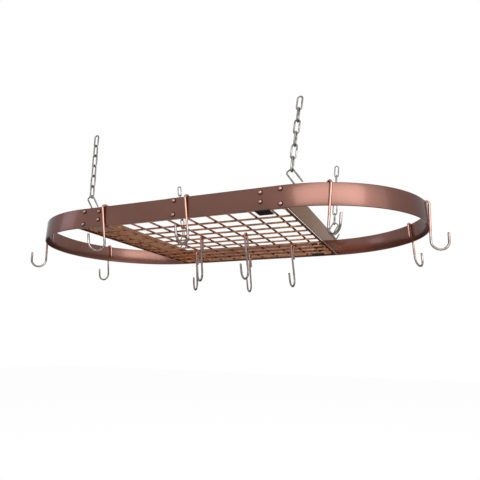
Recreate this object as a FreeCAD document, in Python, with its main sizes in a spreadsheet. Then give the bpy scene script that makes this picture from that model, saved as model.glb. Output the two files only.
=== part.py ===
"""Hanging pot rack: an oval band of upright flat strip with two crossbars, a drop-in wire grid,
four link chains on S-hooks and twelve loose pot hooks.

Frame: millimetres, +Z up, +X along the rack, +Y across it. The origin lies midway between the four
points where the top links of the chains bear on their ceiling hooks.
"""

import FreeCAD, Part
import math
import os

V = FreeCAD.Vector
X_AXIS, Y_AXIS, Z_AXIS = V(1, 0, 0), V(0, 1, 0), V(0, 0, 1)
UPRIGHT = FreeCAD.Rotation()
ALONG_X = FreeCAD.Rotation(Y_AXIS, 90)
ALONG_Y = FreeCAD.Rotation(X_AXIS, -90)
CORNERS = (("near_left", -1, -1), ("near_right", 1, -1), ("far_left", -1, 1), ("far_right", 1, 1))

doc = FreeCAD.newDocument("HangingPotRack")

# ---------------------------------------------------------------- driving dimensions

SIZES = (
    # oval band
    ("band_height", 50.8), ("band_thick", 3.0), ("band_half_width", 287.2),
    ("band_straight_half", 265.7), ("band_end_reach", 287.2),
    ("lap_edge_x", -15.6), ("lap_thick", 1.5), ("lap_flat", 28.0), ("lap_fade", 22.0),
    # crossbars
    ("crossbar_x", 276.2), ("bar_thick", 3.0), ("flange_length", 36.0), ("flange_rivet_back", 15.8),
    ("flange_rivet_high", 7.8), ("flange_rivet_low", 41.2),
    ("hang_hole_in", 34.0), ("hang_hole_diameter", 9.0), ("hang_hole_edge", 4.5),
    # grid brackets
    ("bracket_x", 215.0), ("bracket_width", 33.0), ("bracket_reach", 40.0), ("bracket_thick", 2.5),
    ("bracket_top_gap", 5.0), ("bracket_rivet_high", 11.3), ("bracket_rivet_low", 32.5),
    # rivets
    ("rivet_shank", 4.0), ("rivet_head", 11.5), ("rivet_head_rise", 4.5), ("rivet_play", 0.05),
    ("seam_rivet_x", 1.4), ("seam_rivet_high", 7.0), ("seam_rivet_low", 41.0),
    # wire grid
    ("rim_wire", 6.0), ("rim_corner", 12.0), ("rim_end_gap", 7.7), ("rim_side_gap", 11.3),
    ("long_wire", 4.8), ("long_wire_count", 10), ("cross_wire", 4.8), ("cross_wire_count", 10),
    ("cross_pitch", 51.7), ("weld_sink", 0.2), ("grid_play", 0.3),
    # S-hooks
    ("s_wire", 4.0), ("s_spine", 48.0), ("s_arm", 17.5), ("s_leg", 42.0), ("s_low_leg", 24.0),
    ("s_bend", 5.0),
    ("s_hole_play", 0.3), ("s_chain_play", 1.8),
    # chains
    ("link_wire", 4.0), ("link_pitch", 32.0), ("link_width", 16.0), ("link_play", 0.3),
    ("chain_link_count", 5), ("chain_spread", 18.0), ("chain_draw_in", 14.0), ("chain_lean_over", 165.0),
    # pot hooks
    ("hook_wire", 5.5), ("hook_height", 123.0), ("hook_bend", 7.25), ("hook_lip", 35.0),
    ("hook_curve", 19.5), ("hook_tip", 22.0), ("hook_play", 0.35),
    # places of the pot hooks: along X from the rack's middle, or in from the band's end
    ("left_end_in", 44.3), ("near_left_x", -197.0), ("far_left_in", 37.0), ("near_middle_x", 35.0),
    ("near_right_in", 191.7), ("far_right_in", 50.2), ("right_end_in", 6.2),
    ("centre_left_x", -33.2), ("rear_left_x", -149.7), ("centre_right_x", 98.1), ("rear_middle_x", -3.4),
    ("rear_right_x", 169.5),
)

sheet = doc.addObject("Spreadsheet::Sheet", "Sizes")
for row, (alias, value) in enumerate(SIZES, start=1):
    sheet.set("A%d" % row, alias)
    sheet.set("B%d" % row, str(value))
    sheet.setAlias("B%d" % row, alias)
doc.recompute()


def mm(alias):
    """Value of one driving dimension."""
    return float(sheet.get(alias))


def count(alias):
    """A driving count as a whole number."""
    return int(round(mm(alias)))


# ---------------------------------------------------------------- places worked out from the sizes

band_inner_half = mm("band_half_width") - mm("band_thick")
hole_top = -mm("hang_hole_edge")
hang_y = band_inner_half - mm("hang_hole_in")
hole_z = hole_top - mm("hang_hole_diameter") / 2

# An S-hook hangs with the centres of its two loaded bends in one plumb line.
bend_across = mm("s_arm") - mm("s_bend")
bend_along = mm("s_spine") / 2 - mm("s_bend")
s_tilt = math.degrees(math.atan2(bend_across, bend_along))
s_half_drop = math.hypot(bend_across, bend_along) + mm("s_bend")
# Across the bar's thickness the bend's inner side rises a little beside its lowest point.
s_inside = mm("s_bend") - mm("s_wire") / 2
s_inside_rise = s_inside - math.sqrt(s_inside ** 2 - (mm("bar_thick") / 2) ** 2)
s_low_z = hole_top - mm("s_hole_play") - s_inside_rise - mm("s_wire") / 2
s_high_z = s_low_z + 2 * s_half_drop

# A chain starts under the S-hook's upper corner and leans out lengthwise and in across.
link_step = mm("link_pitch") - mm("link_play")
chain_start_z = s_high_z - mm("s_wire") / 2 - mm("s_chain_play")
chain_length = mm("link_pitch") + count("chain_link_count") * link_step
lean = V(mm("chain_spread"), -mm("chain_draw_in"), mm("chain_lean_over")).normalize()
rack_z = -(chain_start_z + chain_length * lean.z)

# The grid lies on the brackets, inside the crossbars and the band.
rim_z = -mm("band_height") + mm("bracket_thick") + mm("grid_play") + mm("rim_wire") / 2
rim_half_x = mm("crossbar_x") - mm("bar_thick") / 2 - mm("rim_end_gap") - mm("rim_wire") / 2
rim_half_y = band_inner_half - mm("rim_side_gap") - mm("rim_wire") / 2
long_z = rim_z - mm("rim_wire") / 2 - mm("long_wire") / 2 + mm("weld_sink")
cross_z = long_z + mm("long_wire") / 2 + mm("cross_wire") / 2 - mm("weld_sink")
long_pitch = 2 * rim_half_y / (count("long_wire_count") + 1)

flange_rivet_x = mm("crossbar_x") - mm("flange_rivet_back")


def long_wire_y(n):
    """Place across the rack of the grid's long wire n, counted from the near side."""
    return (n + 1) * long_pitch - rim_half_y


def on_oval(side, x, inset):
    """A point of the band's outline drawn in by inset, at x on the near or far side: y and heading.

    The heading is the outward normal's direction in degrees from +X.
    """
    past = math.copysign(max(0.0, abs(x) - mm("band_straight_half")), x)
    reach, half = mm("band_end_reach") - inset, mm("band_half_width") - inset
    y = side * half * math.sqrt(1 - (past / reach) ** 2)
    return y, math.degrees(math.atan2(y / half ** 2, past / reach ** 2))


# ---------------------------------------------------------------- small builders

RIVET_HOLE = "Sizes.rivet_shank + 2 * Sizes.rivet_play"
RIVET_HOLE_START = 2
RIVET_HOLE_DEPTH = "6 * Sizes.band_thick"
HANG_HOLE_REACH = 2
nodes = []


def bind(obj, **expressions):
    """Binds an object's sizes to expressions on the sheet."""
    for prop, expression in expressions.items():
        obj.setExpression(prop, expression)
    return obj


def place(obj, x=0.0, y=0.0, z=0.0, rotation=None):
    """Puts an object at x, y, z, turned by rotation."""
    obj.Placement = FreeCAD.Placement(V(x, y, z), rotation or UPRIGHT)
    return obj


def box(name, length, width, height):
    """A block whose three sizes are expressions."""
    return bind(doc.addObject("Part::Box", name), Length=length, Width=width, Height=height)


def rod(name, diameter, length, x=0.0, y=0.0, z=0.0, rotation=None):
    """A round bar that runs from x, y, z along +Z, or as rotation turns it."""
    bar = bind(doc.addObject("Part::Cylinder", name), Radius="(%s) / 2" % diameter, Height=length)
    return place(bar, x, y, z, rotation)


def fuse(name, parts):
    """One solid out of several that touch or overlap."""
    joined = doc.addObject("Part::MultiFuse", name)
    joined.Shapes = parts
    joined.Refine = True
    return joined


def cut(name, base, tools):
    """The base less a list of tools."""
    tool = tools[0]
    if len(tools) > 1:
        tool = doc.addObject("Part::Compound", name + "_tools")
        tool.Links = tools
    result = doc.addObject("Part::Cut", name)
    result.Base, result.Tool = base, tool
    return result


def common(name, base, tool):
    """What two solids share."""
    result = doc.addObject("Part::Common", name)
    result.Base, result.Tool = base, tool
    return result


def copy_of(name, source, x=0.0, y=0.0, z=0.0, rotation=None):
    """A placed copy of a form."""
    group = doc.addObject("Part::Compound", name)
    group.Links = [source]
    return place(group, x, y, z, rotation)


def gather(name, parts):
    """A group of separate solids."""
    group = doc.addObject("Part::Compound", name)
    group.Links = parts
    return group


def solid_feature(name, shape):
    """A document object for a shape made here from the sheet's sizes."""
    feature = doc.addObject("Part::Feature", name)
    feature.Shape = shape
    return feature


def node(label, obj):
    """Takes obj, modelled from the band's top edge, as the finished piece called label."""
    piece = doc.addObject("Part::Compound", "Node_" + label)
    piece.Links = [obj]
    piece.Label = label
    place(piece, z=rack_z)
    nodes.append(piece)
    return piece


def bent_rod(edges, diameter):
    """Round wire along edges that meet end to end and tangent."""
    path = Part.Wire(edges)
    start = edges[0].firstVertex().Point
    heading = edges[0].tangentAt(edges[0].FirstParameter)
    ring = Part.Wire(Part.makeCircle(diameter / 2, start, heading))
    return path.makePipeShell([ring], True, False)


def line(a, b):
    """Straight edge."""
    return Part.makeLine(a, b)


def arc(a, middle, b):
    """Edge of a circle through three points."""
    return Part.Arc(a, middle, b).toShape()


def rounded_path(points, radius):
    """Straight runs between points, joined by tangent arcs of one radius at right-angled corners."""
    edges, start = [], points[0]
    for before, corner, after in zip(points, points[1:], points[2:]):
        back = (before - corner).normalize()
        ahead = (after - corner).normalize()
        first, last = corner + back * radius, corner + ahead * radius
        middle = corner + (back + ahead) * (radius * (1 - math.sqrt(0.5)))
        edges += [line(start, first), arc(first, middle, last)]
        start = last
    return edges + [line(start, points[-1])]


def rivet_hole(name, x, side, z):
    """A rivet hole's cutter, square through the band's wall and what lines it."""
    y, outward = on_oval(side, x, 0.0)
    inward = FreeCAD.Rotation(Z_AXIS, outward + 180)
    start = V(x, y, z) + inward.multVec(X_AXIS) * (-RIVET_HOLE_START * mm("band_thick"))
    return rod(name, RIVET_HOLE, RIVET_HOLE_DEPTH, start.x, start.y, z, inward.multiply(ALONG_X))


DOME_RADIUS = "((Sizes.rivet_head / 2)^2 + Sizes.rivet_head_rise^2) / (2 * Sizes.rivet_head_rise)"


def rivet_form(name, stack):
    """A dome-headed rivet along +Y: head outside at the origin, shank through a stack of layers, tail."""
    rise, half = mm("rivet_head_rise"), mm("rivet_head") / 2
    ball = (half * half + rise * rise) / (2 * rise)
    sunk = ball - rise
    length = sum(mm(layer) for layer in stack)
    domes = []
    for end, turn, y in (("head", 90, sunk), ("tail", -90, length - sunk)):
        dome = bind(doc.addObject("Part::Sphere", "%s_%s" % (name, end)), Radius=DOME_RADIUS)
        dome.Angle1 = math.degrees(math.asin(sunk / ball))
        domes.append(place(dome, y=y, rotation=FreeCAD.Rotation(X_AXIS, turn)))
    layers = " + ".join("Sizes." + layer for layer in stack)
    return fuse(name, domes + [rod(name + "_shank", "Sizes.rivet_shank", layers, rotation=ALONG_Y)])


def set_rivets(label, form, places):
    """Rivets at places (x, side, z), heads on the outer face of the band."""
    made = []
    for n, (x, side, z, proud) in enumerate(places):
        y, outward = on_oval(side, x, 0.0)
        turn = FreeCAD.Rotation(Z_AXIS, outward + 90)
        made.append(copy_of("%s_%d" % (label, n), form, x, y + side * proud, z, turn))
    return node(label, gather(label + "_set", made))


# ---------------------------------------------------------------- oval band

def plug(name, inset):
    """A solid of the band's oval outline, drawn in by inset and as tall as the band."""
    half_width = "(Sizes.band_half_width - %s)" % inset
    reach = "(Sizes.band_end_reach - %s)" % inset
    middle = box(name + "_middle", "2 * Sizes.band_straight_half", "2 * " + half_width, "Sizes.band_height")
    bind(middle, **{"Placement.Base.x": "-Sizes.band_straight_half", "Placement.Base.y": "-" + half_width,
                    "Placement.Base.z": "-Sizes.band_height"})
    ends = []
    for side, sign in (("left", "-"), ("right", "")):
        oval = doc.addObject("Part::Ellipse", "%s_%s_oval" % (name, side))
        bind(oval, MajorRadius=reach, MinorRadius=half_width,
             **{"Placement.Base.x": sign + "Sizes.band_straight_half",
                "Placement.Base.z": "-Sizes.band_height"})
        end = doc.addObject("Part::Extrusion", "%s_%s_end" % (name, side))
        end.Base, end.Solid, end.DirMode, end.Dir = oval, True, "Custom", Z_AXIS
        end.setExpression("LengthFwd", "Sizes.band_height")
        ends.append(end)
    return fuse(name, [middle] + ends)


outline = plug("Outline", "0")
hollow = plug("Hollow", "Sizes.band_thick")

flange_places = [(sx * flange_rivet_x, sy, -mm(level), 0.0) for sx in (-1, 1) for sy in (-1, 1)
                 for level in ("flange_rivet_high", "flange_rivet_low")]
bracket_places = [(sx * mm("bracket_x"), sy, -mm(level), 0.0) for sx in (-1, 1) for sy in (-1, 1)
                  for level in ("bracket_rivet_high", "bracket_rivet_low")]
seam_places = [(mm("seam_rivet_x"), -1, -mm(level), mm("lap_thick"))
               for level in ("seam_rivet_high", "seam_rivet_low")]


def lap():
    """The strip's outer end, lying over its inner end on the near side and fading into the band."""
    face, proud = -mm("band_half_width"), mm("lap_thick")
    edge = mm("lap_edge_x")
    fade_start = edge + mm("lap_flat")
    outline_points = [V(edge, face, 0), V(edge, face - proud, 0), V(fade_start, face - proud, 0),
                      V(fade_start + mm("lap_fade"), face, 0), V(edge, face, 0)]
    prism = Part.Face(Part.makePolygon(outline_points)).extrude(V(0, 0, -mm("band_height")))
    return solid_feature("Lap", prism)


def build_band():
    """The closed oval strip with its lap and its rivet holes."""
    ring = cut("BandRing", outline, [hollow])
    strip = fuse("BandStrip", [ring, lap()])
    holes = [rivet_hole("BandHole_%d" % n, x, side, z)
             for n, (x, side, z, _) in enumerate(flange_places + bracket_places + seam_places)]
    node("band", cut("BandDrilled", strip, holes))
    set_rivets("seam_rivets", rivet_form("SeamRivet", ("band_thick", "lap_thick")), seam_places)


# ---------------------------------------------------------------- crossbars

def build_crossbars():
    """Two upright bars across the band, their ends bent inward and riveted to it."""
    web = box("Web", "Sizes.bar_thick", "2 * Sizes.band_half_width", "Sizes.band_height")
    bind(web, **{"Placement.Base.x": "Sizes.crossbar_x - Sizes.bar_thick / 2",
                 "Placement.Base.y": "-Sizes.band_half_width", "Placement.Base.z": "-Sizes.band_height"})
    reach = box("FlangeReach", "Sizes.flange_length", "2 * Sizes.band_half_width", "Sizes.band_height")
    bind(reach, **{"Placement.Base.x": "Sizes.crossbar_x + Sizes.bar_thick / 2 - Sizes.flange_length",
                   "Placement.Base.y": "-Sizes.band_half_width", "Placement.Base.z": "-Sizes.band_height"})
    lining = cut("FlangeLining", hollow, [plug("FlangeInside", "(Sizes.band_thick + Sizes.bar_thick)")])
    bent = fuse("CrossbarBent", [common("WebFitted", web, hollow), common("Flanges", lining, reach)])
    holes = []
    for n, side in enumerate((-1, 1)):
        start = mm("crossbar_x") - HANG_HOLE_REACH * mm("bar_thick")
        holes.append(rod("HangHole_%d" % n, "Sizes.hang_hole_diameter",
                         "2 * %d * Sizes.bar_thick" % HANG_HOLE_REACH, start, side * hang_y, hole_z, ALONG_X))
    holes += [rivet_hole("FlangeHole_%d" % n, x, side, z)
              for n, (x, side, z, _) in enumerate(flange_places) if x > 0]
    bar = cut("CrossbarDrilled", bent, holes)
    node("crossbar_right", bar)
    mirrored = doc.addObject("Part::Mirroring", "CrossbarMirrored")
    mirrored.Source, mirrored.Base, mirrored.Normal = bar, V(0, 0, 0), X_AXIS
    node("crossbar_left", mirrored)
    # the play keeps the tail's flat seat off the lining's hollow curve
    set_rivets("crossbar_rivets", rivet_form("BarRivet", ("band_thick", "bar_thick", "rivet_play")),
               flange_places)


# ---------------------------------------------------------------- grid brackets

def build_brackets():
    """Four angle brackets riveted inside the band; the grid lies on their level legs."""
    upright = box("BracketUpright", "Sizes.bracket_width", "Sizes.bracket_thick",
                  "Sizes.band_height - Sizes.bracket_top_gap")
    shelf = box("BracketShelf", "Sizes.bracket_width", "Sizes.bracket_reach", "Sizes.bracket_thick")
    for leg in (upright, shelf):
        bind(leg, **{"Placement.Base.x": "-Sizes.bracket_width / 2",
                     "Placement.Base.z": "-Sizes.band_height"})
    bent = place(fuse("BracketBent", [upright, shelf]), y=-band_inner_half)
    holes = [rivet_hole("BracketHole_" + level, 0, -1, -mm(level))
             for level in ("bracket_rivet_high", "bracket_rivet_low")]
    form = cut("BracketForm", bent, holes)
    for corner, sx, sy in CORNERS:
        turn = FreeCAD.Rotation(Z_AXIS, 180 if sy > 0 else 0)
        node("grid_bracket_" + corner,
             copy_of("Bracket_" + corner, form, sx * mm("bracket_x"), rotation=turn))
    set_rivets("bracket_rivets", rivet_form("BracketRivet", ("band_thick", "bracket_thick")),
               bracket_places)


# ---------------------------------------------------------------- wire grid

RIM_HALF_X = "(Sizes.crossbar_x - Sizes.bar_thick / 2 - Sizes.rim_end_gap - Sizes.rim_wire / 2)"
RIM_HALF_Y = "(Sizes.band_half_width - Sizes.band_thick - Sizes.rim_side_gap - Sizes.rim_wire / 2)"


def build_rim():
    """The panel's edge: one wire bent to a rectangle with rounded corners."""
    straight_x, straight_y = rim_half_x - mm("rim_corner"), rim_half_y - mm("rim_corner")
    pieces = []
    for n, sign in enumerate((-1, 1)):
        pieces.append(rod("RimAlong_%d" % n, "Sizes.rim_wire", "2 * (%s - Sizes.rim_corner)" % RIM_HALF_X,
                          -straight_x, sign * rim_half_y, rim_z, ALONG_X))
        pieces.append(rod("RimAcross_%d" % n, "Sizes.rim_wire", "2 * (%s - Sizes.rim_corner)" % RIM_HALF_Y,
                          sign * rim_half_x, -straight_y, rim_z, ALONG_Y))
    for n, (sx, sy) in enumerate(((1, 1), (-1, 1), (-1, -1), (1, -1))):
        bend = bind(doc.addObject("Part::Torus", "RimBend_%d" % n), Radius1="Sizes.rim_corner",
                    Radius2="Sizes.rim_wire / 2")
        bend.Angle3 = 90
        quarter = FreeCAD.Rotation(Z_AXIS, 90 * n)
        pieces.append(place(bend, sx * straight_x, sy * straight_y, rim_z, quarter))
    node("grid_rim", fuse("Rim", pieces))


def build_grid_wires():
    """Long wires welded under the rim, and cross wires that lie on them inside the rim."""
    start = -rim_half_x - mm("rim_wire") / 2
    wires = [rod("LongWire_%d" % n, "Sizes.long_wire", "2 * %s + Sizes.rim_wire" % RIM_HALF_X,
                 start, long_wire_y(n), long_z, ALONG_X) for n in range(count("long_wire_count"))]
    node("grid_long_wires", gather("LongWires", wires))

    start = mm("rim_wire") / 2 - mm("weld_sink") - rim_half_y
    middle = (count("cross_wire_count") - 1) / 2
    length = "2 * (%s - Sizes.rim_wire / 2 + Sizes.weld_sink)" % RIM_HALF_Y
    wires = [rod("CrossWire_%d" % n, "Sizes.cross_wire", length,
                 (n - middle) * mm("cross_pitch"), start, cross_z, ALONG_Y)
             for n in range(count("cross_wire_count"))]
    node("grid_cross_wires", gather("CrossWires", wires))


# ---------------------------------------------------------------- S-hooks and chains

def s_hook_form():
    """Round wire bent to a square-cornered S in the XZ plane, its spine upright and centred."""
    arm, half = mm("s_arm"), mm("s_spine") / 2
    points = [V(arm, 0, half - mm("s_leg")), V(arm, 0, half), V(0, 0, half), V(0, 0, -half),
              V(-arm, 0, -half), V(-arm, 0, mm("s_low_leg") - half)]
    return solid_feature("SHookForm", bent_rod(rounded_path(points, mm("s_bend")), mm("s_wire")))


def link_form():
    """One welded chain link, standing in the XZ plane, its middle at the origin."""
    half_straight = (mm("link_pitch") + mm("link_wire") * 2 - mm("link_width")) / 2
    offset = (mm("link_width") - mm("link_wire")) / 2
    parts = []
    for n, sign in enumerate((-1, 1)):
        side = rod("LinkSide_%d" % n, "Sizes.link_wire",
                   "Sizes.link_pitch + 2 * Sizes.link_wire - Sizes.link_width",
                   sign * offset, 0, -half_straight)
        crown = bind(doc.addObject("Part::Torus", "LinkCrown_%d" % n),
                     Radius1="(Sizes.link_width - Sizes.link_wire) / 2", Radius2="Sizes.link_wire / 2")
        crown.Angle3 = 180
        place(crown, 0, 0, sign * half_straight, FreeCAD.Rotation(X_AXIS, 90 * sign))
        parts += [side, crown]
    return fuse("LinkForm", parts)


def build_hanging():
    """At each corner an S-hook through the crossbar, a chain on it and the chain's top link."""
    hook_form, link = s_hook_form(), link_form()
    for corner, sx, sy in CORNERS:
        x, y = sx * mm("crossbar_x"), sy * hang_y
        # near hooks lean one way along the rack, far hooks the other
        turn = FreeCAD.Rotation(Y_AXIS, sy * s_tilt)
        if sy > 0:
            turn = turn.multiply(FreeCAD.Rotation(Z_AXIS, 180))
        node("s_hook_" + corner,
             copy_of("SHook_" + corner, hook_form, x, y, s_low_z + s_half_drop, turn))

        along = V(sx * lean.x, sy * lean.y, lean.z)
        upright = FreeCAD.Rotation(Z_AXIS, along)
        links = []
        for n in range(count("chain_link_count") + 1):
            centre = V(x, y, chain_start_z) + along * (mm("link_pitch") / 2 + n * link_step)
            quarter = FreeCAD.Rotation(Z_AXIS, 0 if n % 2 else 90)
            links.append(copy_of("Link_%s_%d" % (corner, n), link, centre.x, centre.y, centre.z,
                                 upright.multiply(quarter)))
        node("chain_" + corner, gather("Chain_" + corner, links[:-1]))
        node("top_link_" + corner, links[-1])


# ---------------------------------------------------------------- pot hooks

# on the band: name, side (+1 far, -1 near), end that it is placed from (-1 left, +1 right, 0 the rack's
# middle), turn off square and sideways lean in degrees
BAND_HOOKS = (
    ("left_end", -1, -1, 23, -5),
    ("near_left", -1, 0, -30, 9),
    ("far_left", 1, -1, 28, -6),
    ("near_middle", -1, 0, -13, 6),
    ("near_right", -1, 1, 28, -6),
    ("far_right", 1, 1, 28, -6),
    ("right_end", -1, 1, 19, -5),
)
# on the grid: name, long wire counted from the near side, turn off square in degrees
GRID_HOOKS = (
    ("centre_left", 3, 8),
    ("rear_left", 7, 12),
    ("centre_right", 3, -5),
    ("rear_middle", 9, 3),
    ("rear_right", 7, -5),
)


def band_hook_x(name, end):
    """Place along the rack of a hook on the band, from the rack's middle or from one end of the band."""
    if end == 0:
        return mm(name + "_x")
    return end * (mm("band_straight_half") + mm("band_end_reach") - mm(name + "_in"))


def pot_hook_form():
    """Round wire: a lip, a small bend over the support, a straight shank and a wide curve, in XZ."""
    bend, curve = mm("hook_bend"), mm("hook_curve")
    low = -(mm("hook_height") - bend - mm("hook_wire") - curve)
    edges = [
        line(V(-bend, 0, -mm("hook_lip")), V(-bend, 0, 0)),
        arc(V(-bend, 0, 0), V(0, 0, bend), V(bend, 0, 0)),
        line(V(bend, 0, 0), V(bend, 0, low)),
        arc(V(bend, 0, low), V(bend + curve, 0, low - curve), V(bend + 2 * curve, 0, low)),
        line(V(bend + 2 * curve, 0, low), V(bend + 2 * curve, 0, low + mm("hook_tip"))),
    ]
    return solid_feature("PotHookForm", bent_rod(edges, mm("hook_wire")))


def band_hook_seat(turn):
    """For a hook turned off square over the band: its bend centre's drop below the edge, and its tilt.

    The skewed wire bears on the edge a little beside its own plane. The hook tilts in about the edge
    until its shank all but meets the band's lower edge.
    """
    skew = math.radians(turn)
    inside = mm("hook_bend") - mm("hook_wire") / 2
    spread = mm("band_thick") / 2 / math.cos(skew)
    beside = (spread * math.tan(skew)) ** 2 / (2 * inside / mm("hook_wire") - math.tan(skew) ** 2)
    drop = math.sqrt(inside ** 2 - spread ** 2 - beside) - mm("hook_play")
    gap = mm("hook_bend") * math.cos(skew) - (mm("hook_wire") + mm("band_thick")) / 2 - mm("hook_play")
    return drop, math.degrees(math.atan2(gap, mm("band_height") - drop))


def build_pot_hooks():
    """Twelve hooks of one form: seven over the band, five on the grid's long wires."""
    form = pot_hook_form()
    for name, side, end, turn, sideways in BAND_HOOKS:
        x = band_hook_x(name, end)
        y, outward = on_oval(side, x, mm("band_thick") / 2)
        drop, tilt = band_hook_seat(turn)
        heading = FreeCAD.Rotation(Z_AXIS, outward)
        lean = FreeCAD.Rotation(X_AXIS, sideways).multiply(FreeCAD.Rotation(Y_AXIS, tilt))
        rotation = heading.multiply(lean).multiply(FreeCAD.Rotation(Z_AXIS, turn))
        node("pot_hook_" + name, copy_of("PotHook_" + name, form, x, y, -drop, rotation))
    # on a wire a hook hangs with its centre of mass under the wire
    centre = form.Shape.CenterOfMass
    swing = FreeCAD.Rotation(Y_AXIS, math.degrees(math.atan2(centre.x, -centre.z)))
    z = long_z + mm("long_wire") / 2 + mm("hook_play") - (mm("hook_bend") - mm("hook_wire") / 2)
    for name, wire, turn in GRID_HOOKS:
        rotation = FreeCAD.Rotation(Z_AXIS, turn - 90).multiply(swing)
        hook = copy_of("PotHook_" + name, form, mm(name + "_x"), long_wire_y(wire), z, rotation)
        node("pot_hook_" + name, hook)


# ---------------------------------------------------------------- build, check and write

build_band()
build_crossbars()
build_brackets()
build_rim()
build_grid_wires()
build_hanging()
build_pot_hooks()
doc.recompute()

for obj in doc.Objects:
    if "Invalid" in obj.State or "Error" in obj.State:
        raise RuntimeError("%s failed: %s" % (obj.Name, obj.State))
for piece in nodes:
    if piece.Shape.isNull() or not piece.Shape.isValid() or not piece.Shape.Solids:
        raise RuntimeError("%s has no valid solid" % piece.Label)

os.makedirs("parts", exist_ok=True)
for piece in nodes:
    piece.Shape.exportStep(os.path.join("parts", piece.Label + ".step"))
    print("%-28s solids %2d  volume %9.0f mm3" % (piece.Label, len(piece.Shape.Solids), piece.Shape.Volume))
print("nodes", len(nodes), "band top at z", round(rack_z, 2), "S-hook tilt", round(s_tilt, 2))
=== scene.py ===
"""Looks of a hanging pot rack: copper-lacquered oval band, wire grid, chains, S-hooks and pot hooks."""
import logging
import math
from dataclasses import dataclass, field
from enum import Enum
from typing import Any, Iterable, Sequence

import bmesh
import bpy
from mathutils import Matrix, Quaternion, Vector


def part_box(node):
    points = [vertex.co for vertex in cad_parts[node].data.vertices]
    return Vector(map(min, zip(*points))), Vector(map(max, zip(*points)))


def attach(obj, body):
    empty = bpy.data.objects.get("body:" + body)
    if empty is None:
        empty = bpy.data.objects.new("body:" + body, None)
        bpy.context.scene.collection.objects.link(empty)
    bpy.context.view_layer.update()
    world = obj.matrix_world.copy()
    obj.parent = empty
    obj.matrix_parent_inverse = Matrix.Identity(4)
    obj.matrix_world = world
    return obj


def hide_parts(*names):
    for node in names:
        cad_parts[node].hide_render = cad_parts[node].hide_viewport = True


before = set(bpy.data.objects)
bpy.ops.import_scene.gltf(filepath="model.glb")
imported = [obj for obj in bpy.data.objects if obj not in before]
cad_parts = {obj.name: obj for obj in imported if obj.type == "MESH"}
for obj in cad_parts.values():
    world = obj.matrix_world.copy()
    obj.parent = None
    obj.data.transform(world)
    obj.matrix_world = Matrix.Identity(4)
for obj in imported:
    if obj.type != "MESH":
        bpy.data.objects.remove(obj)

LOG = logging.getLogger("pot_rack")
MM = 0.001
MERGE = 0.001 * MM  # points nearer than this become one
SHARP = 1.2  # radians between faces from which an edge is rounded
DOME_CAP = 0.35  # share of a step that a dome leaves as a flat cap
Colour = tuple[float, float, float]
CORNERS = (("near_left", -1, -1), ("near_right", 1, -1), ("far_left", -1, 1), ("far_right", 1, 1))


# ------------------------------------------------------------------ shader building


class MathOp(Enum):
    """The sums that shader expressions use."""

    ADD = "ADD"
    SUBTRACT = "SUBTRACT"
    MULTIPLY = "MULTIPLY"
    MAXIMUM = "MAXIMUM"
    ABSOLUTE = "ABSOLUTE"


class Value:
    """A number socket that Python's operators work on."""

    def __init__(self, tree: "NodeTree", socket: bpy.types.NodeSocket) -> None:
        """Wraps a socket of a tree.

        Args:
            tree: The tree that new nodes go into.
            socket: The output socket.
        """
        self.tree = tree
        self.socket = socket

    def _math(self, op: MathOp, first: Any, second: Any = 0.0) -> "Value":
        """Adds one Math node.

        Args:
            op: The sum.
            first: A number or a Value.
            second: A number or a Value.

        Returns:
            The node's result.
        """
        return self.tree.add("ShaderNodeMath", {"operation": op.value}, {0: first, 1: second})

    def __add__(self, other: Any) -> "Value":
        """self + other."""
        return self._math(MathOp.ADD, self, other)

    def __radd__(self, other: Any) -> "Value":
        """other + self."""
        return self._math(MathOp.ADD, other, self)

    def __sub__(self, other: Any) -> "Value":
        """self - other."""
        return self._math(MathOp.SUBTRACT, self, other)

    def __rsub__(self, other: Any) -> "Value":
        """other - self."""
        return self._math(MathOp.SUBTRACT, other, self)

    def __mul__(self, other: Any) -> "Value":
        """self * other."""
        return self._math(MathOp.MULTIPLY, self, other)

    def __rmul__(self, other: Any) -> "Value":
        """other * self."""
        return self._math(MathOp.MULTIPLY, other, self)

    def __abs__(self) -> "Value":
        """The size of self."""
        return self._math(MathOp.ABSOLUTE, self)

    def larger(self, other: Any) -> "Value":
        """The larger of self and other."""
        return self._math(MathOp.MAXIMUM, self, other)

    def ramp(self, low: float, high: float) -> "Value":
        """Runs smoothly from 0 to 1 between two values.

        Args:
            low: Where the result is 0.
            high: Where the result is 1.

        Returns:
            The eased value.
        """
        settings = {"interpolation_type": "SMOOTHSTEP"}
        inputs = {"Value": self, "From Min": low, "From Max": high}
        return self.tree.add("ShaderNodeMapRange", settings, inputs)


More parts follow.
